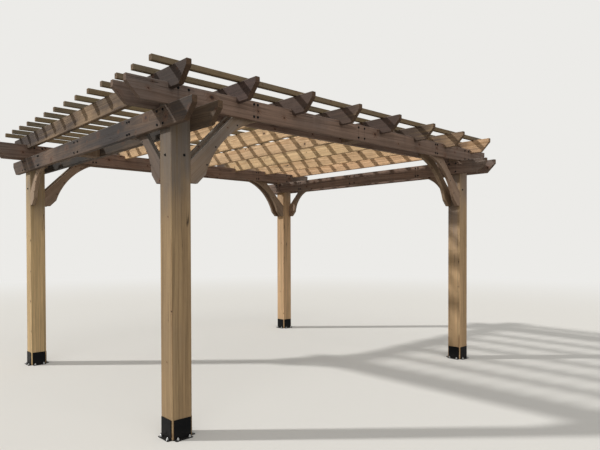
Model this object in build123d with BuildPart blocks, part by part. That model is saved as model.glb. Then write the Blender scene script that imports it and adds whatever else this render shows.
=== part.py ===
from build123d import *
import os

os.makedirs("parts", exist_ok=True)

# A freestanding timber pergola: four posts in steel shoes, two layers of paired beams, curved knee
# braces, rafters and purlins. Millimetres, +Z up, origin on the ground in the middle of the four posts.
# The front is the long side at -Y, and left is -X.

# Posts, centre to centre
post_span_x = 3600
post_span_y = 3000
post_size = 150
post_ease = 4

# Steel post shoe: a cross-shaped foot plate, an upright plate on each face of the post that leaves its
# corners bare, and two anchor holes in each arm of the foot
shoe_plate = 6
shoe_corner = 11
shoe_height = 135
shoe_foot = 25
anchor_hole_r = 5.5
anchor_from_end = 11
anchor_from_side = 20

# Beam boards, in pairs on both faces of the posts
headroom = 2080
board_thickness = 38
lower_beam_depth = 140
upper_beam_depth = 140
lower_beam_overhang = 400
upper_beam_overhang = 400
board_ease = 3

# End cut of beams and rafters: a plumb tip, then a cut back to the underside
beam_tip_plumb = 45
beam_tip_setback = 95
rafter_tip_plumb = 40
rafter_tip_setback = 97

# Rafters, along Y, notched over the upper beam pairs. The first and the last are flush with the outer
# faces of the lower beams.
rafter_count = 8
rafter_thickness = 38
rafter_depth = 140
rafter_overhang = 336
rafter_notch = 40
notch_play = 1

# Purlins, along X, on top of the rafters
purlin_count = 14
purlin_from_rafter_tip = 196
purlin_size = 38
purlin_overhang = 140
purlin_ease = 2

# Curved knee braces, cut from boards and bolted to the inner sides of the beam boards
brace_foot_drop = 358
brace_seat = 153
brace_toe = 55
brace_toe_cut = 65
brace_waist = 75
long_arch_lean = 17
short_arch_lean = -43
long_brace_tail = 7
short_brace_tail = 75
brace_ease = 3

# Spacer blocks in the middle of each pair
spacer_length = 120

# Levels and faces that follow from these
lower_beam_top = headroom + lower_beam_depth
upper_beam_top = lower_beam_top + upper_beam_depth
rafter_bottom = upper_beam_top - rafter_notch
rafter_top = rafter_bottom + rafter_depth
post_x = post_span_x / 2
post_y = post_span_y / 2
half_post = post_size / 2
pair_face = half_post + board_thickness
corners = {
    "front_left": (-1, -1),
    "front_right": (1, -1),
    "back_left": (-1, 1),
    "back_right": (1, 1),
}


# Posts, standing on the foot plates and reaching the top of the upper beams
for corner, (side_x, side_y) in corners.items():
    with BuildPart() as post:
        with BuildSketch(Plane.XY.offset(shoe_plate)):
            with Locations((side_x * post_x, side_y * post_y)):
                Rectangle(post_size, post_size)
        extrude(amount=upper_beam_top - shoe_plate)
        chamfer(post.edges().filter_by(Axis.Z), post_ease)
    post.part.label = f"post_{corner}"
    export_step(post.part, f"parts/post_{corner}.step")


# Post shoes
shoe_width = post_size - 2 * shoe_corner
shoe_reach = half_post + shoe_plate + shoe_foot
anchor_rows = 2 * (shoe_reach - anchor_from_end)
anchor_spacing = shoe_width - 2 * anchor_from_side
post_centres = [(side_x * post_x, side_y * post_y) for side_x, side_y in corners.values()]

with BuildPart() as shoes:
    with BuildSketch():
        with Locations(*post_centres):
            Rectangle(2 * shoe_reach, shoe_width)
            Rectangle(shoe_width, 2 * shoe_reach)
        for centre in post_centres:
            with Locations(centre):
                with GridLocations(anchor_rows, anchor_spacing, 2, 2):
                    Circle(anchor_hole_r, mode=Mode.SUBTRACT)
                with GridLocations(anchor_spacing, anchor_rows, 2, 2):
                    Circle(anchor_hole_r, mode=Mode.SUBTRACT)
    extrude(amount=shoe_plate)
    with BuildSketch(Plane.XY.offset(shoe_plate)):
        for centre in post_centres:
            with Locations(centre):
                with PolarLocations(half_post + shoe_plate / 2, 4):
                    Rectangle(shoe_plate, shoe_width)
    extrude(amount=shoe_height - shoe_plate)
shoes.part.label = "post_bases"
export_step(shoes.part, "parts/post_bases.step")


def timber_profile(length, bottom, depth, plumb, setback):
    """Side outline of a board whose ends have a plumb tip and then a cut back to the underside."""
    tip = length / 2
    heel = tip - setback
    top = bottom + depth
    with BuildSketch(mode=Mode.PRIVATE) as profile:
        with BuildLine():
            Polyline(
                (-tip, top),
                (tip, top),
                (tip, top - plumb),
                (heel, bottom),
                (-heel, bottom),
                (-tip, top - plumb),
                close=True,
            )
        make_face()
    return profile.sketch


def board_starts(centre, outward):
    """Where the outer and the inner board of a pair start, along the axis that crosses the boards."""
    low = centre - pair_face
    high = centre + half_post
    if outward < 0:
        return {"outer": low, "inner": high}
    return {"outer": high, "inner": low}


# Lower beams, along Y on the left and right faces of the posts
lower_beam_length = post_span_y + 2 * lower_beam_overhang
lower_outline = timber_profile(
    lower_beam_length, headroom, lower_beam_depth, beam_tip_plumb, beam_tip_setback
)
for side, outward in {"left": -1, "right": 1}.items():
    for board, start in board_starts(outward * post_x, outward).items():
        with BuildPart() as beam:
            with BuildSketch(Plane.YZ.offset(start)):
                add(lower_outline)
            extrude(amount=board_thickness)
            chamfer(beam.edges().filter_by(Axis.Y), board_ease)
        beam.part.label = f"lower_beam_{side}_{board}"
        export_step(beam.part, f"parts/lower_beam_{side}_{board}.step")


# Upper beams, along X on the front and back faces of the posts, resting on the lower ones
upper_beam_length = post_span_x + 2 * upper_beam_overhang
upper_outline = timber_profile(
    upper_beam_length, lower_beam_top, upper_beam_depth, beam_tip_plumb, beam_tip_setback
)
across_y = Plane(origin=(0, 0, 0), x_dir=(-1, 0, 0), z_dir=(0, 1, 0))
for side, outward in {"front": -1, "back": 1}.items():
    for board, start in board_starts(outward * post_y, outward).items():
        with BuildPart() as beam:
            with BuildSketch(across_y.offset(start)):
                add(upper_outline)
            extrude(amount=board_thickness)
            chamfer(beam.edges().filter_by(Axis.X), board_ease)
        beam.part.label = f"upper_beam_{side}_{board}"
        export_step(beam.part, f"parts/upper_beam_{side}_{board}.step")


# Knee braces. The outline is drawn outwards from the post's centre line and up from the ground: a short
# level toe, a cut at 45 degrees, the arch up to the beams' underside, a plumb end between the boards, and
# a straight upper edge at 45 degrees down to the post. An arch's ends lie on a line at 45 degrees, but for
# its lean away from the post. A brace board is flush with a face of the post: a long brace is a pair, one
# board at each face, and a short brace is the one board at the outer face.
brace_side = half_post - board_thickness
brace_foot = headroom - brace_foot_drop
brace_edge_rise = brace_foot + brace_seat - half_post


def brace_profile(beam_bottom, beam_top, arch_lean, tail):
    """Side outline of one knee brace, X out from the post's centre line and Y up from the ground."""
    toe = half_post + brace_toe
    cut_end = toe + brace_toe_cut
    cut_top = brace_foot + brace_toe_cut
    arch_end = cut_end + beam_bottom - cut_top + arch_lean
    middle_x = (cut_end + arch_end) / 2
    middle_z = (cut_top + beam_bottom) / 2
    half_drop = (brace_edge_rise + middle_x - middle_z) / 2
    waist_shift = brace_waist / 2 ** 0.5
    with BuildSketch(mode=Mode.PRIVATE) as profile:
        with BuildLine():
            Polyline(
                (arch_end, beam_bottom),
                (arch_end + tail, beam_bottom),
                (arch_end + tail, beam_top),
                (beam_top - brace_edge_rise, beam_top),
                (half_post, brace_edge_rise + half_post),
                (half_post, brace_foot),
                (toe, brace_foot),
                (cut_end, cut_top),
            )
            ThreePointArc(
                (cut_end, cut_top),
                (middle_x - half_drop + waist_shift, middle_z + half_drop - waist_shift),
                (arch_end, beam_bottom),
            )
        make_face()
    return profile.sketch


long_outline = brace_profile(lower_beam_top, upper_beam_top, long_arch_lean, long_brace_tail)
short_outline = brace_profile(headroom, lower_beam_top, short_arch_lean, short_brace_tail)
for corner, (side_x, side_y) in corners.items():
    post_foot = (side_x * post_x, side_y * post_y, 0)
    along_x = Plane(origin=post_foot, x_dir=(-side_x, 0, 0), z_dir=(0, side_x, 0))
    along_y = Plane(origin=post_foot, x_dir=(0, -side_y, 0), z_dir=(-side_y, 0, 0))

    outer_is_up = side_x * side_y > 0
    long_starts = {
        "outer": brace_side if outer_is_up else -half_post,
        "inner": -half_post if outer_is_up else brace_side,
    }
    for board, start in long_starts.items():
        with BuildPart() as long_brace:
            with BuildSketch(along_x.offset(start)):
                add(long_outline)
            extrude(amount=board_thickness)
            for flat in long_brace.faces().filter_by(Axis.Y):
                chamfer(flat.edges(), brace_ease)
        long_brace.part.label = f"long_brace_{corner}_{board}"
        export_step(long_brace.part, f"parts/long_brace_{corner}_{board}.step")

    short_start = -half_post if outer_is_up else brace_side
    with BuildPart() as short_brace:
        with BuildSketch(along_y.offset(short_start)):
            add(short_outline)
        extrude(amount=board_thickness)
        for flat in short_brace.faces().filter_by(Axis.X):
            chamfer(flat.edges(), brace_ease)
    short_brace.part.label = f"short_brace_{corner}"
    export_step(short_brace.part, f"parts/short_brace_{corner}.step")


# Spacer blocks, bolted between the boards in the middle of each pair
with BuildPart() as spacers:
    with Locations(
        (-post_x, 0, headroom + lower_beam_depth / 2),
        (post_x, 0, headroom + lower_beam_depth / 2),
    ):
        Box(post_size, spacer_length, lower_beam_depth)
    with Locations(
        (0, -post_y, lower_beam_top + upper_beam_depth / 2),
        (0, post_y, lower_beam_top + upper_beam_depth / 2),
    ):
        Box(spacer_length, post_size, upper_beam_depth)
spacers.part.label = "spacer_blocks"
export_step(spacers.part, "parts/spacer_blocks.step")


# Rafters
rafter_length = post_span_y + 2 * rafter_overhang
rafter_field = post_span_x + 2 * pair_face
rafter_pitch = (rafter_field - rafter_thickness) / (rafter_count - 1)
notch_width = 2 * pair_face + 2 * notch_play
rafter_outline = timber_profile(
    rafter_length, rafter_bottom, rafter_depth, rafter_tip_plumb, rafter_tip_setback
)
for number in range(rafter_count):
    with BuildPart() as rafter:
        with BuildSketch(Plane.YZ.offset(number * rafter_pitch - rafter_field / 2)):
            add(rafter_outline)
            with Locations((-post_y, rafter_bottom), (post_y, rafter_bottom)):
                Rectangle(notch_width, 2 * rafter_notch, mode=Mode.SUBTRACT)
        extrude(amount=rafter_thickness)
        long_edges = rafter.edges().filter_by(Axis.Y)
        chamfer(long_edges.group_by(Axis.Z)[0] + long_edges.group_by(Axis.Z)[-1], board_ease)
    rafter.part.label = f"rafter_{number + 1}"
    export_step(rafter.part, f"parts/rafter_{number + 1}.step")


# Purlins, evenly spaced along the rafters
purlin_length = rafter_field + 2 * purlin_overhang
first_purlin_y = purlin_from_rafter_tip - rafter_length / 2
purlin_pitch = -2 * first_purlin_y / (purlin_count - 1)
for number in range(purlin_count):
    with BuildPart() as purlin:
        with Locations((0, first_purlin_y + number * purlin_pitch, rafter_top + purlin_size / 2)):
            Box(purlin_length, purlin_size, purlin_size)
        chamfer(purlin.edges().filter_by(Axis.X), purlin_ease)
    purlin.part.label = f"purlin_{number + 1:02d}"
    export_step(purlin.part, f"parts/purlin_{number + 1:02d}.step")
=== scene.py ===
"""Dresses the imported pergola: weathered cedar, black screws and shoes, zinc anchors, and a plain stage."""

import math

import bpy
import numpy as np
from mathutils import Matrix, Vector


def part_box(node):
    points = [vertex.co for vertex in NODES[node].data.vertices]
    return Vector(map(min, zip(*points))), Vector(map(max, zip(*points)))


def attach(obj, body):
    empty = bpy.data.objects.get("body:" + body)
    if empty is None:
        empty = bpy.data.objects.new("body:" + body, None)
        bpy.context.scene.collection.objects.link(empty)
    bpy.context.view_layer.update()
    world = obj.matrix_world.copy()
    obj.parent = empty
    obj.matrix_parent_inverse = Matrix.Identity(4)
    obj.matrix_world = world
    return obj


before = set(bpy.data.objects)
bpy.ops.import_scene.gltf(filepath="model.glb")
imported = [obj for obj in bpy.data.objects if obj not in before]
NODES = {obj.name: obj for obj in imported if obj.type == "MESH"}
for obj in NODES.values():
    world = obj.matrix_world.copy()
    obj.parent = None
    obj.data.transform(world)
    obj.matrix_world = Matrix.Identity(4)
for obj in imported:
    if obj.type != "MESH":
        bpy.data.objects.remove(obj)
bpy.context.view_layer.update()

bl_info = {
    "name": "Cedar pergola",
    "version": (1, 0, 0),
    "blender": (4, 5, 0),
    "location": "3D View > Sidebar > Pergola",
    "description": "Weathers the cedar of a pergola and fits its screws, anchors and stage",
    "category": "Object",
}

MM = 0.001
CORNERS = ("front_left", "front_right", "back_left", "back_right")
ALONG_X = Vector((1, 0, 0))
ALONG_Y = Vector((0, 1, 0))
UPRIGHT = Vector((0, 0, 1))
SMOOTH = {"interpolation_type": "SMOOTHSTEP"}

# Layout of the fixings, read off the photograph, in metres
SCREW_FROM_EDGE = 25 * MM
POST_SCREW_HALF_PITCH = 40 * MM
BRACE_SCREW_HALF_PITCH = 17.5 * MM
BRACE_HEAD_OUT = {"long": 607 * MM, "short": 475 * MM}
BRACE_SIDE_SCREWS = {
    "long": ((465 * MM, 2168 * MM), (278 * MM, 1989 * MM), (204 * MM, 1857 * MM)),
    "short": ((330 * MM, 2036 * MM), (262 * MM, 1960 * MM), (204 * MM, 1857 * MM)),
}
BRACE_LAG_HEIGHT = 1905 * MM
BRACE_LAG_ASIDE = 25 * MM
SHOE_SCREW_HEIGHT = 40 * MM
ANCHOR_OUT = 95 * MM
ANCHOR_SIDE = 44 * MM

# The shoe: outer face of its plates from the post's axis, its foot, the washer on it, the gap under a stud
PLATE_FACE = 81 * MM
FOOT_THICKNESS = 6 * MM
WASHER_THICKNESS = 2 * MM
STUD_CLEARANCE = 0.2 * MM

# Painted shade at the left end, along with weathering: a darker tone and more greying for its first rafter
# and the braces at the front left; the short brace at the back left is lighter, as painted light
FIRST_RAFTER_SHADE_TONE = 0.6
FIRST_RAFTER_WEATHER_AND_SHADE = 1.2
SHORT_BRACE_LIGHT_AND_SHADE_TONE = {"front_left": 0.6, "back_left": 1.3}
NEAR_BRACE_WEATHER_AND_SHADE = 2.2

# Weathering and painted shade of the rafters' ends: at the left end of the row, and its fall to the right
# end
FIRST_TIP_WEAR_AND_SHADE = 1.1
TIP_SHADE_FALL = 0.7

# Tone of each post, and how far its top has weathered: lighter tones at the back are painted light, darker
# ones at the front painted shade, and the darker tops are partly painted shade under the beams
POST_LOOK = {
    "front_left": (0.83, 1.0),
    "front_right": (0.95, 0.75),
    "back_left": (1.22, 0.5),
    "back_right": (1.25, 0.3),
}

# What makes every timber differ: random seed, spread of the pith's place, step along the trunk in metres
FIRST_SEED = 1700
PITH_SPREAD = 12 * MM
TRUNK_STEP = 4.37

# Colours that all the timbers share
SILVERED = "8E877C"
KNOT_HALO = "6F4B33"
KNOT_RIM = "4A2E1D"
KNOT_HEART = "241812"
END_GRAIN = "6E5238"
IRON_STAIN = "2E2724"
CRACK_DARK = "2A1E16"

# Colours of the metal and of the dust on it
BLACK_COAT = "08090B"
DUST = "5F5A53"
ZINC = "C9CBCC"
ZINC_BLOOM = "A9A9A4"

# The floor: the grey that it throws back, its rings and its fade in metres, and its drop below the feet
FLOOR_BOUNCE = "8F8B84"
FLOOR_SIDES = 64
FLOOR_RADII = (0.5, 3.0, 8.0, 20.0)
FLOOR_FADE = (6.0, 16.0)
FLOOR_DROP = 0.5 * MM

# The lamps: where each stands as seen from the object, and its angle in degrees, which softens its shadow
KEY_TOWARDS = (-0.85, 0.75, 0.75)
KEY_ANGLE = 2.5
FILL_TOWARDS = (-0.45, -1.0, 0.75)
FILL_ANGLE = 70


def linear(code):
    """Turns an sRGB hex colour into linear RGBA, by the sRGB curve."""
    channels = np.array([int(code[start:start + 2], 16) for start in (0, 2, 4)]) / 255
    low = channels / 12.92
    high = ((channels + 0.055) / 1.055) ** 2.4
    return (*np.where(channels <= 0.04045, low, high).tolist(), 1.0)


def add(tree, kind, inputs=None, out=0, **settings):
    """Adds a node with its settings and inputs, each a value or a socket to link from; returns an output.

    Inputs go by name or place. Map Range has the value at 0, the range it comes from at 1 and 2 and the one
    it goes to at 3 and 4. Mix has the share at 0 and two colours at 6 and 7, and gives the mixed one at 2.
    """
    node = tree.nodes.new(kind if kind.startswith("Node") else "ShaderNode" + kind)
    for name, value in settings.items():
        setattr(node, name, value)
    for key, value in (inputs or {}).items():
        if isinstance(value, bpy.types.NodeSocket):
            tree.links.new(value, node.inputs[key])
        else:
            node.inputs[key].default_value = value
    return node.outputs[out] if node.outputs else None


def new_material(name):
    """An empty node material, and its tree."""
    material = bpy.data.materials.new(name)
    material.use_nodes = True
    material.node_tree.nodes.clear()
    return material, material.node_tree


# The timber's figure

FIGURE_INPUTS = (
    ("Point", "NodeSocketVector"),
    ("Grain axis", "NodeSocketVector"),
    ("Turned normal", "NodeSocketVector"),
    ("Exposure", "NodeSocketFloat"),
    ("Stain", "NodeSocketFloat"),
    ("Banding", "NodeSocketFloat"),
    ("Ring width", "NodeSocketFloat"),
    ("Knot radius", "NodeSocketFloat"),
    ("Knot share", "NodeSocketFloat"),
    ("Early wood", "NodeSocketColor"),
    ("Late wood", "NodeSocketColor"),
    ("Weathered wood", "NodeSocketColor"),
)
FIGURE_OUTPUTS = (
    ("Color", "NodeSocketColor"),
    ("Roughness", "NodeSocketFloat"),
    ("Height", "NodeSocketFloat"),
)


def cedar_figure():
    """The node group that draws sawn cedar at real scale.

    Its Point is in metres, x and y across the trunk from the pith and z along the grain. Growth rings are
    a saw tooth of the distance to a pith that wanders and tapers. Knots are branches that run out from it,
    one in each cell of angle and length. Fibre, streaks and bands are noise drawn out along z.
    """
    tree = bpy.data.node_groups.new("cedar figure", "ShaderNodeTree")
    for way, sockets in (("INPUT", FIGURE_INPUTS), ("OUTPUT", FIGURE_OUTPUTS)):
        for name, kind in sockets:
            tree.interface.new_socket(name=name, in_out=way, socket_type=kind)
    given = add(tree, "NodeGroupInput").node.outputs
    point = given["Point"]

    # The pith wanders by up to 30 mm over a metre or so, and the rings ripple by up to 5 mm over decimetres
    for scale, shift, detail in (
        ((1.1, 1.1, 0.6), (0.055, 0.055, 0.0), 1.0),
        ((13.0, 13.0, 2.4), (0.009, 0.009, 0.0), 2.0),
    ):
        spread = add(tree, "VectorMath", {0: point, 1: scale}, operation="MULTIPLY")
        noise = add(tree, "TexNoise", {"Vector": spread, "Scale": 1.0, "Detail": detail}, out=1)
        centred = add(tree, "VectorMath", {0: noise, 1: (0.5, 0.5, 0.5)}, operation="SUBTRACT")
        point = add(tree, "VectorMath", {0: centred, 1: shift, 2: point}, operation="MULTIPLY_ADD")
    across = add(tree, "VectorMath", {0: point, 1: (1.0, 1.0, 0.0)}, operation="MULTIPLY")
    radius = add(tree, "VectorMath", {0: across}, out=1, operation="LENGTH")
    parts = add(tree, "SeparateXYZ", {0: point}).node.outputs
    along = parts["Z"]
    angle = add(tree, "Math", {0: parts["Y"], 1: parts["X"]}, operation="ARCTAN2")

    # Knots: cells of 0.75 radian by 0.36 m, each with a branch that climbs 0.45 m for each metre outwards.
    # A knot is a quarter longer along the grain than across, and none is smaller than 0.2 mm.
    cells_per_radian = 1.35
    cells_per_metre = 2.8
    cell_size = (1 / cells_per_radian, 0.8 / cells_per_metre, 0.0)
    climb = add(tree, "Math", {0: radius, 1: -0.45, 2: along}, operation="MULTIPLY_ADD")
    cell_x = add(tree, "Math", {0: angle, 1: cells_per_radian}, operation="MULTIPLY")
    cell_y = add(tree, "Math", {0: climb, 1: cells_per_metre}, operation="MULTIPLY")
    cell = add(tree, "CombineXYZ", {0: cell_x, 1: cell_y})
    branch = add(
        tree, "TexVoronoi", {"Vector": cell, "Scale": 1.0, "Randomness": 0.9},
        voronoi_dimensions="2D", feature="F1",
    ).node.outputs
    away = add(tree, "VectorMath", {0: cell, 1: branch["Position"]}, operation="SUBTRACT")
    away = add(tree, "VectorMath", {0: away, 1: cell_size}, operation="MULTIPLY")
    away = add(tree, "SeparateXYZ", {0: away}).node.outputs
    arc = add(tree, "Math", {0: away["X"], 1: radius}, operation="MULTIPLY")
    offset = add(tree, "CombineXYZ", {0: arc, 1: away["Y"]})
    distance = add(tree, "VectorMath", {0: offset}, out=1, operation="LENGTH")
    chance = add(tree, "SeparateColor", {0: branch["Color"]}).node.outputs
    present = add(tree, "Math", {0: chance["Green"], 1: given["Knot share"]}, operation="LESS_THAN")

    # A knot shows only on the faces that cut its branch nearly square
    outward = add(tree, "VectorMath", {0: across}, operation="NORMALIZE")
    normal = given["Turned normal"]
    head_on = add(tree, "VectorMath", {0: outward, 1: normal}, out=1, operation="DOT_PRODUCT")
    head_on = add(tree, "Math", {0: head_on}, operation="ABSOLUTE")
    head_on = add(tree, "MapRange", {0: head_on, 1: 0.45, 2: 0.7}, **SMOOTH)
    present = add(tree, "Math", {0: present, 1: head_on}, operation="MULTIPLY")
    size = add(tree, "Math", {0: chance["Red"], 1: 2.0}, operation="POWER")
    size = add(tree, "MapRange", {0: size, 3: 0.3, 4: 1.0})
    size = add(tree, "Math", {0: size, 1: given["Knot radius"]}, operation="MULTIPLY")
    size = add(tree, "Math", {0: size, 1: present, 2: 0.2 * MM}, operation="MULTIPLY_ADD")
    ragged = add(tree, "TexNoise", {"Vector": point, "Scale": 160.0, "Detail": 1.0})
    ragged = add(tree, "MapRange", {0: ragged, 1: 0.3, 2: 0.7, 3: 0.75, 4: 1.25})
    reach = add(tree, "Math", {0: distance, 1: size}, operation="DIVIDE")
    rough_reach = add(tree, "Math", {0: reach, 1: ragged}, operation="MULTIPLY")
    knot = add(tree, "MapRange", {0: rough_reach, 1: 1.15, 2: 0.8}, **SMOOTH)
    heart = add(tree, "MapRange", {0: rough_reach, 1: 0.7, 2: 0.2}, **SMOOTH)
    halo = add(tree, "MapRange", {0: reach, 1: 4.0, 2: 0.9}, **SMOOTH)

    # Growth rings: the trunk tapers 8 mm a metre, rings swell 11 mm round a knot, and years differ in tone
    taper = add(tree, "Math", {0: along, 1: 0.008, 2: radius}, operation="MULTIPLY_ADD")
    swell = add(tree, "Math", {0: halo, 1: 0.011, 2: taper}, operation="MULTIPLY_ADD")
    years = add(tree, "Math", {0: swell, 1: given["Ring width"]}, operation="DIVIDE")
    season = add(tree, "Math", {0: years}, operation="FRACT")
    year = add(tree, "Math", {0: years}, operation="FLOOR")
    rise = add(tree, "MapRange", {0: season, 1: 0.15, 2: 0.9}, **SMOOTH)
    fall = add(tree, "MapRange", {0: season, 1: 1.0, 2: 0.93}, **SMOOTH)
    darkness = add(tree, "TexWhiteNoise", {"W": year}, noise_dimensions="1D")
    darkness = add(tree, "MapRange", {0: darkness, 3: 0.35, 4: 1.0})
    late = add(tree, "Math", {0: rise, 1: fall}, operation="MULTIPLY")
    late = add(tree, "Math", {0: late, 1: darkness}, operation="MULTIPLY")

    # Fibre of 1.5 mm, streaks of 12 mm, bands of 40 mm and blotches of 0.4 m, all longer along the grain
    drawn = {}
    for name, scale, detail in (
        ("fibre", (650.0, 650.0, 9.0), 2.0),
        ("streak", (80.0, 80.0, 1.3), 3.0),
        ("band", (26.0, 26.0, 0.35), 1.0),
        ("blotch", (2.6, 2.6, 1.5), 4.0),
        ("check", (36.0, 36.0, 0.9), 1.0),
        ("check place", (6.0, 6.0, 1.4), 1.0),
    ):
        spread = add(tree, "VectorMath", {0: point, 1: scale}, operation="MULTIPLY")
        drawn[name] = add(tree, "TexNoise", {"Vector": spread, "Scale": 1.0, "Detail": detail})

    # Checks: hairline cracks where one drawn-out noise crosses its middle value, kept to a few places
    gap = add(tree, "Math", {0: drawn["check"], 1: 0.5}, operation="SUBTRACT")
    gap = add(tree, "Math", {0: gap}, operation="ABSOLUTE")
    crack = add(tree, "MapRange", {0: gap, 1: 0.012, 2: 0.004})
    place = add(tree, "MapRange", {0: drawn["check place"], 1: 0.58, 2: 0.66})
    crack = add(tree, "Math", {0: crack, 1: place}, operation="MULTIPLY")

    # End grain: where the face turns towards the grain axis, with cracks like spokes round the pith
    normal = add(tree, "NewGeometry", out=1)
    axis = given["Grain axis"]
    facing = add(tree, "VectorMath", {0: normal, 1: axis}, out=1, operation="DOT_PRODUCT")
    facing = add(tree, "Math", {0: facing}, operation="ABSOLUTE")
    end = add(tree, "MapRange", {0: facing, 1: 0.5, 2: 0.8}, **SMOOTH)
    spokes = add(tree, "Math", {0: angle, 1: 16.0}, operation="MULTIPLY")
    spokes_out = add(tree, "Math", {0: radius, 1: 9.0}, operation="MULTIPLY")
    spokes = add(tree, "CombineXYZ", {0: spokes, 1: spokes_out, 2: along})
    spokes = add(tree, "TexNoise", {"Vector": spokes, "Scale": 1.0, "Detail": 1.0})
    split = add(tree, "Math", {0: spokes, 1: 0.5}, operation="SUBTRACT")
    split = add(tree, "Math", {0: split}, operation="ABSOLUTE")
    split = add(tree, "MapRange", {0: split, 1: 0.016, 2: 0.005})
    split = add(tree, "Math", {0: split, 1: end}, operation="MULTIPLY")
    crack = add(tree, "Math", {0: crack, 1: split}, operation="MAXIMUM")

    # Weathering: faces that look up and ends that stand out go first, in blotches, streaks and bands. On
    # some timbers the exposure also carries painted shade
    upward = add(tree, "SeparateXYZ", {0: normal}, out=2)
    upward = add(tree, "MapRange", {0: upward, 1: 0.2, 2: 0.9})
    weather = add(tree, "Math", {0: upward, 1: 0.3, 2: given["Exposure"]}, operation="MULTIPLY_ADD")
    for name, gain in (("blotch", 1.6), ("streak", 0.8), ("band", 0.5)):
        part = add(tree, "Math", {0: drawn[name], 1: 0.5}, operation="SUBTRACT")
        weather = add(tree, "Math", {0: part, 1: gain, 2: weather}, operation="MULTIPLY_ADD")
    weather = add(tree, "MapRange", {0: weather, 1: 0.1, 2: 1.0}, **SMOOTH)

    # Colour: late, weathered and silvered wood over early wood, all shaded by fibre, streaks and bands
    ring = add(tree, "Math", {0: late, 1: 0.75}, operation="MULTIPLY")
    silver = add(tree, "Math", {0: weather, 1: upward}, operation="MULTIPLY")
    silver = add(tree, "Math", {0: silver, 1: 0.65}, operation="MULTIPLY")
    colour = given["Early wood"]
    for share, over in (
        (ring, given["Late wood"]),
        (weather, given["Weathered wood"]),
        (silver, linear(SILVERED)),
    ):
        colour = add(tree, "Mix", {0: share, 6: colour, 7: over}, out=2, data_type="RGBA")
    shade = 0.0
    for name, gain in (("fibre", 0.40), ("streak", 0.75), ("band", 0.6)):
        part = add(tree, "Math", {0: drawn[name], 1: 0.5}, operation="SUBTRACT")
        shade = add(tree, "Math", {0: part, 1: gain, 2: shade}, operation="MULTIPLY_ADD")
    shade = add(tree, "Math", {0: shade, 1: given["Banding"], 2: 1.0}, operation="MULTIPLY_ADD")
    colour = add(tree, "VectorMath", {0: colour, 3: shade}, operation="SCALE")

    # Eased edges, which face between two sides, are paler: partly rubbed wear, partly a painted highlight
    # where light catches them
    turned = add(tree, "SeparateXYZ", {0: given["Turned normal"]}).node.outputs
    arris_wear_and_highlight = add(tree, "Math", {0: turned["X"], 1: turned["Y"]}, operation="MULTIPLY")
    arris_wear_and_highlight = add(tree, "Math", {0: arris_wear_and_highlight}, operation="ABSOLUTE")
    arris_wear_and_highlight = add(tree, "MapRange", {0: arris_wear_and_highlight, 1: 0.3, 2: 0.45, 3: 1.0, 4: 1.4})
    colour = add(tree, "VectorMath", {0: colour, 3: arris_wear_and_highlight}, operation="SCALE")

    # Knots, end grain, stains and cracks lie over all that, each at its strength
    for share, strength, code in (
        (halo, 0.35, KNOT_HALO),
        (knot, 1.0, KNOT_RIM),
        (heart, 1.0, KNOT_HEART),
        (end, 0.5, END_GRAIN),
        (given["Stain"], 0.38, IRON_STAIN),
        (crack, 1.0, CRACK_DARK),
    ):
        share = add(tree, "Math", {0: share, 1: strength}, operation="MULTIPLY")
        colour = add(tree, "Mix", {0: share, 6: colour, 7: linear(code)}, out=2, data_type="RGBA")

    # Roughness near 0.8, a little lower on the hard knots; height in millimetres
    polish = add(tree, "Math", {0: drawn["fibre"], 1: 0.25, 2: 0.68}, operation="MULTIPLY_ADD")
    polish = add(tree, "Math", {0: knot, 1: -0.12, 2: polish}, operation="MULTIPLY_ADD")
    height = add(tree, "Math", {0: late, 1: 0.22}, operation="MULTIPLY")
    for part, gain in ((drawn["fibre"], 0.5), (drawn["streak"], 1.2), (knot, 0.35), (crack, -1.4)):
        height = add(tree, "Math", {0: part, 1: gain, 2: height}, operation="MULTIPLY_ADD")
    add(tree, "NodeGroupOutput", {"Color": colour, "Roughness": polish, "Height": height})
    return tree


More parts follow.
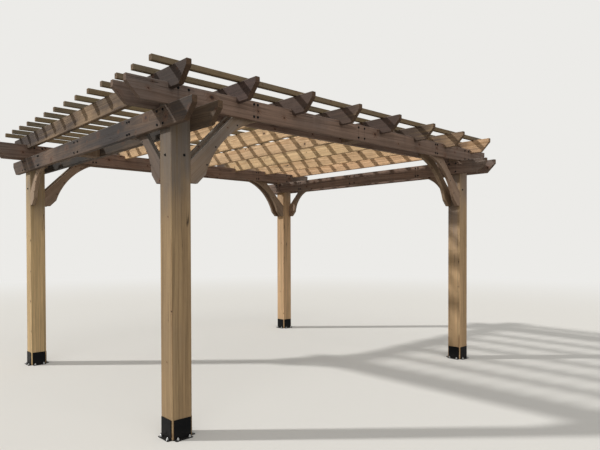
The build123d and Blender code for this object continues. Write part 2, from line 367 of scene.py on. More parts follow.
# Finishes of the timbers. colours: early, late and weathered wood. ring: width of a year's ring in mm.
# knot: largest radius in mm, and share of the cells that have one. pith: its place beside the timber's
# middle in metres. exposure: weathering all over, to which each row of wear_and_shade adds: from where, to
# where and how much, in metres along the grain from the origin or from wear_and_shade_from; on the rafters'
# ends and the posts' tops these rows are also painted shade. runs: strength of the dirt that water leaves.
# banding: strength of fibre, streaks and bands.
TIMBER_LOOKS = {
    # Planed cedar post: tan with long straight bands and small dark knots, grey towards the top, which is
    # weathering and also painted shade under the beams
    "post": dict(
        colours=("B79A74", "91714E", "786C63"), ring=9.0, knot=(10.0, 0.6), pith=(0.135, 0.080),
        exposure=0.06, wear_and_shade=((0.40, 0.08, 0.20), (1.10, 1.90, 0.80)), runs=0.1, banding=1.4),
    # Rough-sawn cedar beam, gone brown-grey in the weather
    "beam": dict(
        colours=("876F5E", "5B483B", "6B6058"), ring=7.0, knot=(16.0, 0.7), pith=(0.095, 0.030),
        exposure=0.30, wear_and_shade=((1.30, 2.20, 0.35),), runs=0.6, banding=1.8),
    # The same beam on the left side: dark grey, which is weathering and also painted shade, with paler
    # blotches where the sound wood still shows
    "shaded grey beam": dict(
        colours=("806954", "4F3F33", "352F2B"), ring=7.0, knot=(16.0, 0.7), pith=(0.095, 0.030),
        exposure=0.66, wear_and_shade=((1.30, 2.20, 0.05),), runs=0.6, banding=1.5),
    # Bandsawn cedar brace, half sheltered under the beams
    "brace": dict(
        colours=("9A836C", "715945", "7C7065"), ring=7.5, knot=(10.0, 0.5), pith=(0.110, 0.060),
        exposure=0.25, wear_and_shade=(), runs=0.3, banding=1.2),
    # Planed cedar block between the beams
    "block": dict(
        colours=("8F765F", "644D3A", "70655B"), ring=7.0, knot=(10.0, 0.5), pith=(0.090, 0.050),
        exposure=0.20, wear_and_shade=(), runs=0.3, banding=1.0),
    # Planed cedar rafter: golden where the purlins shelter it, dark brown at the ends that stand out, which
    # is weathering and also painted shade
    "rafter": dict(
        colours=("DBB98F", "B08960", "4F3F36"), ring=7.0, knot=(10.0, 0.35), pith=(0.090, 0.025),
        exposure=0.6, wear_and_shade=((1.22, 1.60, 1.15),), wear_and_shade_from=0.15, runs=0.35, banding=1.2),
    # Sawn cedar batten on the roof, olive grey-brown from sun and rain on all sides
    "purlin": dict(
        colours=("877252", "61503A", "6B6252"), ring=5.0, knot=(7.0, 0.6), pith=(0.070, 0.045),
        exposure=0.40, wear_and_shade=((1.60, 2.05, 0.20),), runs=0.3, banding=1.0),
}


def drip_stain(tree, grain, columns, top, bottom):
    """A dark streak of iron and tannin that runs down from each column of screws in a beam.

    Strength is a bell across the nearest column, full at the upper screw and fading towards the lower edge,
    broken up by a noise in runs of 6 by 110 mm. Also returns how much dirt the rain leaves at each height,
    least along the lower edge. columns are distances from the beam's middle, and top and bottom the heights
    of the upper screw and the edge.
    """
    place = add(tree, "TexCoord", out=3)
    along = add(tree, "VectorMath", {0: place, 1: tuple(grain)}, out=1, operation="DOT_PRODUCT")
    along = add(tree, "Math", {0: along}, operation="ABSOLUTE")
    nearest = None
    for column in columns:
        gap = add(tree, "Math", {0: along, 1: column}, operation="SUBTRACT")
        gap = add(tree, "Math", {0: gap}, operation="ABSOLUTE")
        nearest = gap if nearest is None else add(tree, "Math", {0: nearest, 1: gap}, operation="MINIMUM")
    drawn = add(tree, "VectorMath", {0: place, 1: (170.0, 170.0, 9.0)}, operation="MULTIPLY")
    drawn = add(tree, "TexNoise", {"Vector": drawn, "Scale": 1.0, "Detail": 2.0})
    wide = add(tree, "Math", {0: drawn, 1: -0.020, 2: nearest}, operation="MULTIPLY_ADD")
    bell = add(tree, "MapRange", {0: wide, 1: 0.002, 2: -0.012}, **SMOOTH)
    height = add(tree, "SeparateXYZ", {0: place}, out=2)
    below = add(tree, "MapRange", {0: height, 1: top + 12 * MM, 2: top - 4 * MM}, **SMOOTH)
    fade = add(tree, "MapRange", {0: height, 1: bottom - 0.02, 2: top, 3: 0.25, 4: 1.0})
    stain = add(tree, "Math", {0: bell, 1: below}, operation="MULTIPLY")
    washed = add(tree, "MapRange", {0: height, 1: bottom + 0.01, 2: top, 3: 0.15, 4: 1.1})
    return add(tree, "Math", {0: stain, 1: fade}, operation="MULTIPLY"), washed


def cedar_material(
        name, figure, look, low, high, grain, number, tone=1.0, exposed=1.0, tip_gain=1.0, stain=None):
    """Weathered cedar for one timber, its figure laid along the grain and moved on by its number.

    stain is (columns, top, bottom) for the drips of a beam.
    """
    draw = np.random.default_rng(FIRST_SEED + number)
    material, tree = new_material(name)
    turn = grain.rotation_difference(UPRIGHT)
    angles = tuple(turn.to_euler("XYZ"))
    wobble = draw.uniform(-PITH_SPREAD, PITH_SPREAD, 2)
    pith = Vector((look["pith"][0] + wobble[0], look["pith"][1] + wobble[1], 1.0 + TRUNK_STEP * number))
    if grain == ALONG_X:
        pith.x, pith.y = pith.y, pith.x
    place = add(tree, "TexCoord", out=3)
    shift = tuple(pith - turn @ ((low + high) / 2))
    point = add(tree, "Mapping", {0: place, 1: shift, 2: angles}, vector_type="POINT")
    normal = add(tree, "NewGeometry", out=1)
    normal = add(tree, "Mapping", {0: normal, 2: angles}, vector_type="VECTOR")
    along = add(tree, "VectorMath", {0: place, 1: tuple(grain)}, out=1, operation="DOT_PRODUCT")
    along = add(tree, "Math", {0: along, 1: look.get("wear_and_shade_from", 0.0)}, operation="SUBTRACT")
    along = add(tree, "Math", {0: along}, operation="ABSOLUTE")
    exposure = look["exposure"] * exposed
    # Each row adds weathering towards the ends; on the rafters' ends and the posts' tops it is also painted
    # shade
    for start, end, gain in look["wear_and_shade"]:
        span = {0: along, 1: start, 2: end, 4: gain * tip_gain}
        more = add(tree, "MapRange", span, **SMOOTH)
        exposure = add(tree, "Math", {0: exposure, 1: more}, operation="ADD")

    # Each colour is up to 8 percent lighter or darker, with a slight cast, and the rings vary by a fifth
    colours = []
    for code in look["colours"]:
        lightness = draw.uniform(0.92, 1.08)
        cast = draw.uniform(0.97, 1.03, 3)
        colours.append((*np.clip(np.array(linear(code)[:3]) * tone * lightness * cast, 0, 1), 1.0))
    ring_width = look["ring"] * MM * draw.uniform(0.8, 1.2)

    # Dirt that water has left, in runs of 12 cm by 70 cm
    run = add(tree, "VectorMath", {0: place, 1: (8.0, 8.0, 1.5)}, operation="MULTIPLY")
    run = add(tree, "TexNoise", {"Vector": run, "Scale": 1.0, "Detail": 4.0, "Roughness": 0.6})
    run = add(tree, "MapRange", {0: run, 1: 0.46, 2: 0.68, 4: look["runs"]}, **SMOOTH)
    if stain:
        drips, washed = drip_stain(tree, grain, *stain)
        run = add(tree, "Math", {0: run, 1: washed}, operation="MULTIPLY")
        run = add(tree, "Math", {0: run, 1: drips}, operation="MAXIMUM")
    drawn = add(tree, "Group", {
        "Point": point, "Grain axis": tuple(grain), "Turned normal": normal,
        "Exposure": exposure, "Stain": run, "Banding": look["banding"], "Ring width": ring_width,
        "Knot radius": look["knot"][0] * MM, "Knot share": look["knot"][1],
        "Early wood": colours[0], "Late wood": colours[1], "Weathered wood": colours[2],
    }, node_tree=figure).node.outputs
    bump = add(tree, "Bump", {"Distance": MM, "Height": drawn["Height"]})
    shader = add(tree, "BsdfPrincipled", {
        "Base Color": drawn["Color"], "Roughness": drawn["Roughness"], "Normal": bump, "IOR": 1.5,
        "Specular IOR Level": 0.3})
    add(tree, "OutputMaterial", {0: shader})
    return material


def dusty_black_steel(name, rough, dust):
    """Black powder coat: satin, with the orange peel of a sprayed and baked coat, dusty low down.

    The peel is 2.4 mm across and the dust lies in clouds of 45 mm, up to 75 mm above the ground.
    """
    material, tree = new_material(name)
    place = add(tree, "TexCoord", out=3)
    peel = add(tree, "TexNoise", {"Vector": place, "Scale": 420.0, "Detail": 2.0})
    cloud = add(tree, "TexNoise", {"Vector": place, "Scale": 22.0, "Detail": 4.0, "Roughness": 0.65})
    height = add(tree, "SeparateXYZ", {0: place}, out=2)
    low_down = add(tree, "MapRange", {0: height, 1: 0.075, 2: 0.0, 3: 0.0, 4: 0.55})
    upward = add(tree, "SeparateXYZ", {0: add(tree, "NewGeometry", out=1)}, out=2)
    upward = add(tree, "MapRange", {0: upward, 1: 0.3, 2: 1.0, 3: 0.0, 4: 0.35})
    film = add(tree, "Math", {0: low_down, 1: upward}, operation="ADD")
    film = add(tree, "Math", {0: film, 1: cloud}, operation="MULTIPLY")
    film = add(tree, "Math", {0: film, 1: dust}, operation="MULTIPLY", use_clamp=True)
    colour = add(tree, "Mix", {0: film, 6: linear(BLACK_COAT), 7: linear(DUST)}, out=2, data_type="RGBA")
    gloss = add(tree, "MapRange", {0: cloud, 1: 0.3, 2: 0.7, 3: rough - 0.06, 4: rough + 0.08})
    gloss = add(tree, "Math", {0: film, 1: 0.4, 2: gloss}, operation="MULTIPLY_ADD")
    height = add(tree, "Math", {0: peel, 1: 0.09}, operation="MULTIPLY")
    bump = add(tree, "Bump", {"Distance": MM, "Height": height})
    shader = add(tree, "BsdfPrincipled", {
        "Base Color": colour, "Roughness": gloss, "Normal": bump, "IOR": 1.5, "Specular IOR Level": 0.1})
    add(tree, "OutputMaterial", {0: shader})
    return material


def zinc_plate(name):
    """Bright zinc-plated steel gone slightly dull: silvery, with pale bloom in spots of 4 mm."""
    material, tree = new_material(name)
    place = add(tree, "TexCoord", out=3)
    bloom = add(tree, "TexNoise", {"Vector": place, "Scale": 260.0, "Detail": 3.0})
    bloom = add(tree, "MapRange", {0: bloom, 1: 0.45, 2: 0.7}, **SMOOTH)
    colour = add(tree, "Mix", {0: bloom, 6: linear(ZINC), 7: linear(ZINC_BLOOM)}, out=2, data_type="RGBA")
    gloss = add(tree, "MapRange", {0: bloom, 3: 0.28, 4: 0.55})
    height = add(tree, "Math", {0: bloom, 1: 0.05}, operation="MULTIPLY")
    bump = add(tree, "Bump", {"Distance": MM, "Height": height})
    shader = add(tree, "BsdfPrincipled", {
        "Base Color": colour, "Roughness": gloss, "Normal": bump, "Metallic": 1.0})
    add(tree, "OutputMaterial", {0: shader})
    return material


# Screws, bolts and anchors

# Each profile row is (radius in mm, height above the face in mm, share of hexagon in the section). Screws
# start 1 mm inside the face.
HEX_SCREW = (
    (9.5, -1.0, 0), (9.5, 1.2, 0), (8.6, 2.0, 0), (6.6, 2.3, 1), (6.6, 6.6, 1), (5.4, 7.4, 1))
SMALL_SCREW = ((6.0, -1.0, 0), (6.0, 1.0, 0), (5.0, 2.2, 0), (3.0, 3.0, 0))
WASHER = ((10.0, 0.0, 0), (10.0, 1.6, 0), (9.6, 2.0, 0), (5.0, 2.0, 0))
NUT = ((8.7, 0.0, 1), (9.0, 0.6, 1), (9.0, 7.4, 1), (8.0, 8.0, 1), (4.9, 8.0, 0))
STUD = ((4.9, 0.0, 0), (4.9, 20.5, 0), (4.2, 21.5, 0))
SUNK_SCREW = ((4.6, -1.0, 0), (4.6, 0.15, 0), (4.1, 0.4, 0), (2.1, 0.4, 1), (1.9, 0.05, 1))
HEAD_SIDES = 12


def mesh_object(name, points, faces):
    """An object at the origin with its place in its mesh."""
    mesh = bpy.data.meshes.new(name)
    mesh.from_pydata(points.tolist(), [], faces)
    mesh.update()
    piece = bpy.data.objects.new(name, mesh)
    bpy.context.scene.collection.objects.link(piece)
    return piece


def turned_heads(name, places, outwards, profile):
    """A closed turned shape at every place, standing along its outward direction.

    Point (i, j, k) = place i + radius j * facet(k) * (cos angle k * U i + sin angle k * V i)
    + height j * out i, with U and V square to the outward direction out, and facet(k) the distance of a
    hexagon's side where the row asks for it.
    """
    places = np.asarray(places, float)
    out = np.asarray(outwards, float)
    out /= np.linalg.norm(out, axis=1, keepdims=True)
    upright = np.abs(out[:, 2:]) > 0.9
    helper = np.where(upright, [[1.0, 0.0, 0.0]], [[0.0, 0.0, 1.0]])
    side = np.cross(helper, out)
    side /= np.linalg.norm(side, axis=1, keepdims=True)
    up = np.cross(out, side)
    radius, height, hexagon = (np.array(column, float) for column in zip(*profile))
    angle = np.arange(HEAD_SIDES) * (2 * math.pi / HEAD_SIDES)
    facet = math.cos(math.pi / 6) / np.cos(angle % (math.pi / 3) - math.pi / 6)
    reach = radius[:, None] * MM * (1 - hexagon[:, None] * (1 - facet[None, :]))
    ring = (
        np.cos(angle)[None, None, :, None] * side[:, None, None, :]
        + np.sin(angle)[None, None, :, None] * up[:, None, None, :])
    points = (
        places[:, None, None, :]
        + reach[None, :, :, None] * ring
        + (height * MM)[None, :, None, None] * out[:, None, None, :])
    count, rows = len(places), len(profile)
    index = np.arange(count * rows * HEAD_SIDES).reshape(count, rows, HEAD_SIDES)
    ahead = np.roll(index, -1, axis=2)
    quads = np.stack([index[:, :-1], ahead[:, :-1], ahead[:, 1:], index[:, 1:]], axis=-1).reshape(-1, 4)
    caps = np.concatenate([index[:, 0, ::-1], index[:, -1]])
    return mesh_object(name, points.reshape(-1, 3), quads.tolist() + caps.tolist())


def fit_heads(name, places, outwards, profile, material):
    """Makes a piece of turned heads, and gives it its material and the body that it rides on."""
    piece = turned_heads(name, places, outwards, profile)
    piece.data.materials.append(material)
    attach(piece, "root")


def middle(node):
    """The middle of a CAD node's box."""
    low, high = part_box(node)
    return (low + high) / 2


def screw_places(level, columns):
    """Places and outward directions of the screws through the two pairs of beams at one level.

    Each column has a screw near the top and one near the bottom edge, on the outer face of the outer board
    and on the inner face of the inner board.
    """
    sides = ("front", "back") if level == "upper" else ("left", "right")
    across = 1 if level == "upper" else 0
    places, outwards = [], []
    for side in sides:
        outer_low, outer_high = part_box(f"{level}_beam_{side}_outer")
        inner_low, inner_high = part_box(f"{level}_beam_{side}_inner")
        sign = math.copysign(1, outer_low[across] + outer_high[across])
        outer = max(abs(outer_low[across]), abs(outer_high[across])) * sign
        inner = min(abs(inner_low[across]), abs(inner_high[across])) * sign
        heights = (outer_low.z + SCREW_FROM_EDGE, outer_high.z - SCREW_FROM_EDGE)
        for column in columns:
            for height in heights:
                for face, direction in ((outer, sign), (inner, -sign)):
                    places.append([column, face, height] if across else [face, column, height])
                    outwards.append([0, direction, 0] if across else [direction, 0, 0])
    return places, outwards


def screw_columns(level):
    """Where the screw columns stand along a beam: two at each post, at each brace head and at the block."""
    axis = 0 if level == "upper" else 1
    post = abs(middle("post_front_left")[axis])
    brace = post - BRACE_HEAD_OUT["long" if level == "upper" else "short"]
    return {
        use: [centre + step for centre in centres for step in (-half_pitch, half_pitch)]
        for use, centres, half_pitch in (
            ("post", (-post, post), POST_SCREW_HALF_PITCH),
            ("brace", (-brace, brace), BRACE_SCREW_HALF_PITCH),
            ("block", (0.0,), POST_SCREW_HALF_PITCH),
        )
    }


def stain_columns(level):
    """Distance of every screw column from the beam's middle, for the drips under it."""
    return sorted({round(abs(column), 6) for row in screw_columns(level).values() for column in row})


# Settings that a user would change

class PergolaTimberSettings(bpy.types.PropertyGroup):
    """How light or dark the timbers are, and how far the weather and the painted shade on the ends have
    gone.
    """

    tone: bpy.props.FloatProperty(
        name="Tone", description="Lightness of all timbers against their written colours",
        default=1.0, min=0.3, max=2.0, subtype="FACTOR")
    # End weathering also scales the painted shade on the rafters' ends and the posts' tops
    end_weather_and_shade: bpy.props.FloatProperty(
        name="End weathering", description="How far the weather has gone on the open ends of the timbers",
        default=1.0, min=0.0, max=2.0, subtype="FACTOR")


class PergolaFixingSettings(bpy.types.PropertyGroup):
    """Finish of the black steel."""

    black_roughness: bpy.props.FloatProperty(
        name="Black roughness", description="Roughness of the powder coat on the shoes and screws",
        default=0.45, min=0.1, max=1.0, subtype="FACTOR")
    dust: bpy.props.FloatProperty(
        name="Dust", description="How much dust lies on the shoes",
        default=0.3, min=0.0, max=2.0, subtype="FACTOR")


class PergolaStageSettings(bpy.types.PropertyGroup):
    """Floor, backdrop and lights."""

    floor_colour: bpy.props.FloatVectorProperty(
        name="Floor", description="Colour of the floor",
        size=4, subtype="COLOR", default=linear("DEDBD4"))
    backdrop_colour: bpy.props.FloatVectorProperty(
        name="Backdrop", description="Colour behind the object",
        size=4, subtype="COLOR", default=linear("ECEBE8"))
    floor_reach: bpy.props.FloatProperty(
        name="Floor reach", description="Radius of the floor",
        default=60.0, min=5.0, subtype="DISTANCE", unit="LENGTH")
    key_strength: bpy.props.FloatProperty(
        name="Key", description="Strength of the lamp from behind on the left", default=2.5, min=0.0)
    fill_strength: bpy.props.FloatProperty(
        name="Fill", description="Strength of the soft lamp from the front", default=0.9, min=0.0)
    sky_strength: bpy.props.FloatProperty(
        name="Surround", description="Strength of the even light from all round", default=0.43, min=0.0)


# Operators: timbers

def stems(*starts):
    """Names of the CAD nodes that begin with one of the given words, in order."""
    return [name for name in sorted(NODES) if name.startswith(starts)]


def figure_group():
    """The one cedar figure that all timbers share."""
    return bpy.data.node_groups.get("cedar figure") or cedar_figure()


def plain(name):
    """The factor of a timber that is like the rest."""
    return 1.0


def dress_timbers(context, names, look, grain_of, tone_of=plain, tip_of=plain, **extra_of):
    """Gives each named timber its own cedar, from one look and its own grain direction, tone and ends."""
    if not names:
        raise RuntimeError("the frame has none of these timbers")
    settings = context.scene.pergola_timber
    order = sorted(NODES)
    for name in names:
        low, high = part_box(name)
        extra = {key: value(name) for key, value in extra_of.items()}
        material = cedar_material(
            f"{look} cedar {name}", figure_group(), TIMBER_LOOKS[look], low, high, grain_of(name),
            order.index(name), tone=settings.tone * tone_of(name),
            tip_gain=settings.end_weather_and_shade * tip_of(name), **extra)
        NODES[name].data.materials.clear()
        NODES[name].data.materials.append(material)


class PERGOLA_OT_posts(bpy.types.Operator):
    """Finishes the four posts as planed cedar"""

    bl_idname = "pergola.posts"
    bl_label = "Posts"

    def execute(self, context):
        # Post tones are painted light and shade, and the darker tops partly painted shade under the beams
        dress_timbers(
            context, [f"post_{corner}" for corner in CORNERS], "post", lambda name: UPRIGHT,
            tone_of=lambda name: POST_LOOK[name.removeprefix("post_")][0],
            tip_of=lambda name: POST_LOOK[name.removeprefix("post_")][1])
        return {"FINISHED"}


class PERGOLA_OT_beams(bpy.types.Operator):
    """Finishes the paired beams as rough-sawn cedar, with dark drips under their screws"""

    bl_idname = "pergola.beams"
    bl_label = "Beams"

    def execute(self, context):
        # The left beams take the darker grey look, painted shade along with weathering
        for level, start, look, grain in (
            ("upper", "upper_beam_", "beam", ALONG_X),
            ("lower", "lower_beam_left_", "shaded grey beam", ALONG_Y),
            ("lower", "lower_beam_right_", "beam", ALONG_Y),
        ):
            low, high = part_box(f"{level}_beam_{'front' if level == 'upper' else 'left'}_outer")
            drips = (stain_columns(level), high.z - SCREW_FROM_EDGE, low.z)
            dress_timbers(context, stems(start), look, lambda name: grain, stain=lambda name: drips)
        return {"FINISHED"}


class PERGOLA_OT_braces(bpy.types.Operator):
    """Finishes the curved brace boards as bandsawn cedar, with the grain along their slope"""

    bl_idname = "pergola.braces"
    bl_label = "Braces"

    def execute(self, context):
        def slope(name):
            """Halfway between upright and level, towards the middle of the pergola."""
            low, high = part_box(name)
            axis = 0 if name.startswith("long") else 1
            grain = UPRIGHT.copy()
            grain[axis] = -math.copysign(1, low[axis] + high[axis])
            return grain.normalized()

        # The short braces' tones are painted shade at the front left and painted light at the back left; the
        # near braces' extra greying is painted shade along with weathering
        def tone(name):
            return SHORT_BRACE_LIGHT_AND_SHADE_TONE.get(name.removeprefix("short_brace_"), 1.0)

        def greyed(name):
            return NEAR_BRACE_WEATHER_AND_SHADE if "front_left" in name else 1.0

        dress_timbers(
            context, stems("long_brace_", "short_brace_"), "brace", slope, tone_of=tone, exposed=greyed)
        return {"FINISHED"}


class PERGOLA_OT_blocks(bpy.types.Operator):
    """Finishes the blocks between the beams"""

    bl_idname = "pergola.blocks"
    bl_label = "Spacer blocks"

    def execute(self, context):
        dress_timbers(context, ["spacer_blocks"], "block", lambda name: UPRIGHT)
        return {"FINISHED"}


class PERGOLA_OT_rafters(bpy.types.Operator):
    """Finishes the rafters as planed cedar, golden under the purlins and brown at the ends"""

    bl_idname = "pergola.rafters"
    bl_label = "Rafters"

    def execute(self, context):
        names = stems("rafter_")

        # The first rafter's darker tone and greying, and the ends' darkening that falls from left to right,
        # are painted shade along with weathering
        def tip(name):
            """Most on the left, and falling ever faster towards the right."""
            return FIRST_TIP_WEAR_AND_SHADE - TIP_SHADE_FALL * (names.index(name) / (len(names) - 1)) ** 3

        dress_timbers(
            context, names, "rafter", lambda name: ALONG_Y,
            tone_of=lambda name: FIRST_RAFTER_SHADE_TONE if name == names[0] else 1.0, tip_of=tip,
            exposed=lambda name: FIRST_RAFTER_WEATHER_AND_SHADE if name == names[0] else 0.0)
        return {"FINISHED"}


class PERGOLA_OT_purlins(bpy.types.Operator):
    """Finishes the purlins as sawn cedar gone olive grey"""

    bl_idname = "pergola.purlins"
    bl_label = "Purlins"

    def execute(self, context):
        dress_timbers(context, stems("purlin_"), "purlin", lambda name: ALONG_X)
        return {"FINISHED"}


# Operators: steel

def black_steel(context):
    """The powder coat that the shoes and screws share."""
    settings = context.scene.pergola_fixings
    name = "powder coated steel"
    return bpy.data.materials.get(name) or dusty_black_steel(name, settings.black_roughness, settings.dust)


class PERGOLA_OT_shoes(bpy.types.Operator):
    """Finishes the post shoes as black powder-coated steel"""

    bl_idname = "pergola.shoes"
    bl_label = "Post shoes"

    def execute(self, context):
        shoes = NODES["post_bases"].data.materials
        shoes.clear()
        shoes.append(black_steel(context))
        return {"FINISHED"}


class PERGOLA_OT_beam_screws(bpy.types.Operator):
    """Fits the black hex screws through the beams at the posts, the brace heads and the blocks"""

    bl_idname = "pergola.beam_screws"
    bl_label = "Beam screws"

    def execute(self, context):
        for level in ("upper", "lower"):
            for use, columns in screw_columns(level).items():
                places, outwards = screw_places(level, columns)
                fit_heads(f"{level}_beam_{use}_screws", places, outwards, HEX_SCREW, black_steel(context))
        return {"FINISHED"}


class PERGOLA_OT_purlin_screws(bpy.types.Operator):
    """Drives a black socket screw through each purlin into each rafter, nearly flush with its top"""

    bl_idname = "pergola.purlin_screws"
    bl_label = "Purlin screws"

    def execute(self, context):
        rafters = [middle(name).x for name in stems("rafter_")]
        places = [[x, middle(name).y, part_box(name)[1].z] for name in stems("purlin_") for x in rafters]
        fit_heads("purlin_screws", places, [UPRIGHT] * len(places), SUNK_SCREW, black_steel(context))
        return {"FINISHED"}


class PERGOLA_OT_brace_screws(bpy.types.Operator):
    """Fits the screws in the brace boards' open side faces and the lag screws in the posts behind them"""

    bl_idname = "pergola.brace_screws"
    bl_label = "Brace screws"

    def execute(self, context):
        sides, side_outwards, lags, lag_outwards = [], [], [], []
        for name in stems("long_brace_", "short_brace_"):
            kind = name.split("_")[0]
            axis, across = (0, 1) if kind == "long" else (1, 0)
            low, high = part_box(name)
            post = middle("post_" + "_".join(name.split("_")[2:4]))
            outward = math.copysign(1, post[axis])
            facing = math.copysign(1, (low + high)[across] / 2 - post[across])
            for out, height in BRACE_SIDE_SCREWS[kind]:
                place = [0.0, 0.0, height]
                place[axis] = post[axis] - outward * out
                place[across] = (high if facing > 0 else low)[across]
                direction = [0, 0, 0]
                direction[across] = facing
                sides.append(place)
                side_outwards.append(direction)
        for corner in CORNERS:
            low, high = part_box(f"post_{corner}")
            post = (low + high) / 2
            across_x = high.x if post.x > 0 else low.x
            across_y = high.y if post.y > 0 else low.y
            lags += [
                [across_x, post.y, BRACE_LAG_HEIGHT],
                [post.x - math.copysign(BRACE_LAG_ASIDE, post.x), across_y, BRACE_LAG_HEIGHT]]
            lag_outwards += [[math.copysign(1, post.x), 0, 0], [0, math.copysign(1, post.y), 0]]
        fit_heads("brace_side_screws", sides, side_outwards, SMALL_SCREW, black_steel(context))
        fit_heads("brace_lag_screws", lags, lag_outwards, HEX_SCREW, black_steel(context))
        return {"FINISHED"}


class PERGOLA_OT_shoe_fixings(bpy.types.Operator):
    """Fits a screw in each shoe plate, and the zinc anchors with their washers and nuts"""

    bl_idname = "pergola.shoe_fixings"
    bl_label = "Shoe fixings"

    def execute(self, context):
        foot_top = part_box("post_bases")[0].z + FOOT_THICKNESS
        screws, screw_outwards, anchors = [], [], []
        for corner in CORNERS:
            post = middle(f"post_{corner}")
            for x, y in ((1, 0), (-1, 0), (0, 1), (0, -1)):
                screws.append([post.x + x * PLATE_FACE, post.y + y * PLATE_FACE, SHOE_SCREW_HEIGHT])
                screw_outwards.append([x, y, 0])
                for side in (-ANCHOR_SIDE, ANCHOR_SIDE):
                    anchors.append([
                        post.x + x * ANCHOR_OUT + y * side, post.y + y * ANCHOR_OUT + x * side, foot_top])
        fit_heads("shoe_screws", screws, screw_outwards, SMALL_SCREW, black_steel(context))
        zinc = zinc_plate("zinc plated steel")
        for name, rise, profile in (
            ("anchor_washers", 0.0, WASHER),
            ("anchor_nuts", WASHER_THICKNESS, NUT),
            ("anchor_studs", STUD_CLEARANCE - FOOT_THICKNESS, STUD),
        ):
            fit_heads(name, np.array(anchors) + [0, 0, rise], [UPRIGHT] * len(anchors), profile, zinc)
        return {"FINISHED"}


# Operator: stage

# The photograph's view: where the lens was, which way it looked, its length in mm and its shift in widths
CAMERA_PLACE = (-3.6471, -4.7320, 1.3159)
CAMERA_YAW = math.radians(47.1918)
CAMERA_PITCH = math.radians(-0.7073)
CAMERA_ROLL = math.radians(0.1369)
CAMERA_LENS = 31.998
CAMERA_SHIFT = (0.0009, 0.0402)
CAMERA_SIGHT = 200.0


def camera_matrix():
    """Place and turn of the camera: forward from yaw and pitch, right level with the ground, all rolled."""
    forward = Vector((
        math.cos(CAMERA_YAW) * math.cos(CAMERA_PITCH), math.sin(CAMERA_YAW) * math.cos(CAMERA_PITCH),
        math.sin(CAMERA_PITCH)))
    right = forward.cross(UPRIGHT).normalized()
    down = forward.cross(right)
    rolled_right = math.cos(CAMERA_ROLL) * right + math.sin(CAMERA_ROLL) * down
    rolled_down = -math.sin(CAMERA_ROLL) * right + math.cos(CAMERA_ROLL) * down
    turn = Matrix((rolled_right, -rolled_down, -forward)).transposed()
    return Matrix.Translation(CAMERA_PLACE) @ turn.to_4x4()


def sun(name, towards, strength, angle):
    """A sun lamp that shines from the direction towards which the vector points."""
    lamp = bpy.data.lights.new(name, "SUN")
    lamp.energy = strength
    lamp.angle = math.radians(angle)
    holder = bpy.data.objects.new(name, lamp)
    holder.rotation_euler = Vector(towards).to_track_quat("Z", "Y").to_euler()
    bpy.context.scene.collection.objects.link(holder)


def floor_disc(reach):
    """The floor: point (i, j) = radius i * (cos angle j, sin angle j, 0), with radii that grow outwards."""
    radii = np.array([*FLOOR_RADII, reach])
    angle = np.arange(FLOOR_SIDES) * (2 * math.pi / FLOOR_SIDES)
    x = radii[:, None] * np.cos(angle)
    y = radii[:, None] * np.sin(angle)
    points = np.stack([x, y, np.full_like(x, -FLOOR_DROP)], axis=-1).reshape(-1, 3)
    index = np.arange(len(points)).reshape(len(radii), FLOOR_SIDES)
    ahead = np.roll(index, -1, axis=1)
    quads = np.stack([index[:-1], index[1:], ahead[1:], ahead[:-1]], axis=-1).reshape(-1, 4)
    return mesh_object("floor", points, quads.tolist() + [index[0].tolist()])


def seen_rays(tree):
    """1 for rays that see the backdrop, from the camera, off a gloss or through glass, and 0 for others."""
    rays = add(tree, "LightPath").node.outputs
    seen = rays["Is Camera Ray"]
    for kind in ("Is Glossy Ray", "Is Transmission Ray"):
        seen = add(tree, "Math", {0: seen, 1: rays[kind]}, operation="MAXIMUM")
    return seen


def floor_material(settings):
    """Matt floor, pale to the eye and middle grey to the light it throws back, fading into the backdrop."""
    material, tree = new_material("matt pale floor")
    seen = seen_rays(tree)
    tones = {0: seen, 6: linear(FLOOR_BOUNCE), 7: tuple(settings.floor_colour)}
    colour = add(tree, "Mix", tones, out=2, data_type="RGBA")
    matt = add(tree, "BsdfDiffuse", {0: colour})
    far = add(tree, "Emission", {0: tuple(settings.backdrop_colour), 1: 1.0})
    distance = add(tree, "TexCoord", out=3)
    distance = add(tree, "VectorMath", {0: distance}, out=1, operation="LENGTH")
    start, end = FLOOR_FADE
    fade = add(tree, "MapRange", {0: distance, 1: start, 2: end}, **SMOOTH)
    fade = add(tree, "Math", {0: fade, 1: seen}, operation="MULTIPLY")
    surface = add(tree, "MixShader", {0: fade, 1: matt, 2: far})
    add(tree, "OutputMaterial", {0: surface})
    return material


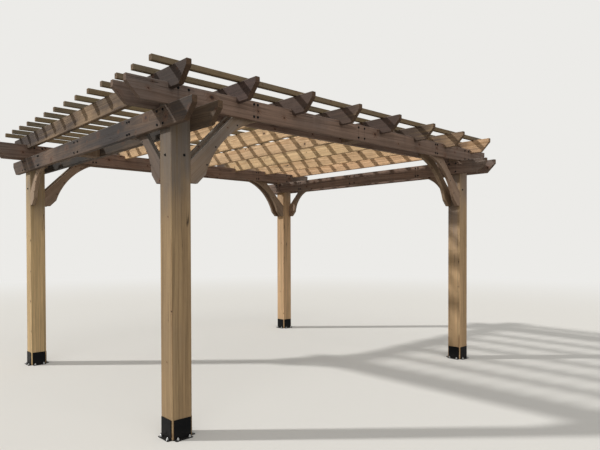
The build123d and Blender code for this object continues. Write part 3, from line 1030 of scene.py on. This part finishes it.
class PERGOLA_OT_stage(bpy.types.Operator):
    """Sets the pale floor and backdrop, the lamps and the camera"""

    bl_idname = "pergola.stage"
    bl_label = "Stage"

    def execute(self, context):
        settings = context.scene.pergola_stage
        floor = floor_disc(settings.floor_reach)
        floor.data.materials.append(floor_material(settings))

        sun("key", KEY_TOWARDS, settings.key_strength, KEY_ANGLE)
        sun("fill", FILL_TOWARDS, settings.fill_strength, FILL_ANGLE)

        world = bpy.data.worlds.new("surround")
        world.use_nodes = True
        tree = world.node_tree
        tree.nodes.clear()
        even = add(tree, "Background", {0: (1.0, 1.0, 1.0, 1.0), 1: settings.sky_strength})
        backdrop = add(tree, "Background", {0: tuple(settings.backdrop_colour), 1: 1.0})
        both = add(tree, "MixShader", {0: seen_rays(tree), 1: even, 2: backdrop})
        add(tree, "OutputWorld", {0: both})
        context.scene.world = world

        lens = bpy.data.cameras.new("camera")
        lens.lens = CAMERA_LENS
        lens.shift_x, lens.shift_y = CAMERA_SHIFT
        lens.clip_end = CAMERA_SIGHT
        camera = bpy.data.objects.new("camera", lens)
        camera.matrix_world = camera_matrix()
        context.scene.collection.objects.link(camera)
        context.scene.camera = camera
        context.scene.view_settings.view_transform = "Standard"
        return {"FINISHED"}


STEPS = (
    PERGOLA_OT_posts, PERGOLA_OT_beams, PERGOLA_OT_braces, PERGOLA_OT_blocks, PERGOLA_OT_rafters,
    PERGOLA_OT_purlins, PERGOLA_OT_shoes, PERGOLA_OT_beam_screws, PERGOLA_OT_brace_screws,
    PERGOLA_OT_purlin_screws, PERGOLA_OT_shoe_fixings, PERGOLA_OT_stage,
)
SETTINGS = {
    "pergola_timber": PergolaTimberSettings,
    "pergola_fixings": PergolaFixingSettings,
    "pergola_stage": PergolaStageSettings,
}


class PERGOLA_PT_panel(bpy.types.Panel):
    """Lists the settings and steps in the sidebar"""

    bl_idname = "PERGOLA_PT_panel"
    bl_label = "Cedar pergola"
    bl_space_type = "VIEW_3D"
    bl_region_type = "UI"
    bl_category = "Pergola"

    def draw(self, context):
        for name, group in SETTINGS.items():
            box = self.layout.box()
            for key in group.__annotations__:
                box.prop(getattr(context.scene, name), key)
        for step in STEPS:
            self.layout.operator(step.bl_idname)


def register():
    """Registers the settings, the steps and the panel."""
    for group in SETTINGS.values():
        bpy.utils.register_class(group)
    for name, group in SETTINGS.items():
        setattr(bpy.types.Scene, name, bpy.props.PointerProperty(type=group))
    for kind in (*STEPS, PERGOLA_PT_panel):
        bpy.utils.register_class(kind)


def unregister():
    """Takes them away again, the last one first."""
    for kind in (PERGOLA_PT_panel, *reversed(STEPS)):
        bpy.utils.unregister_class(kind)
    for name, group in SETTINGS.items():
        delattr(bpy.types.Scene, name)
        bpy.utils.unregister_class(group)


def main():
    register()
    for step in STEPS:
        family, action = step.bl_idname.split(".")
        getattr(getattr(bpy.ops, family), action)()


if __name__ == "__main__":
    main()
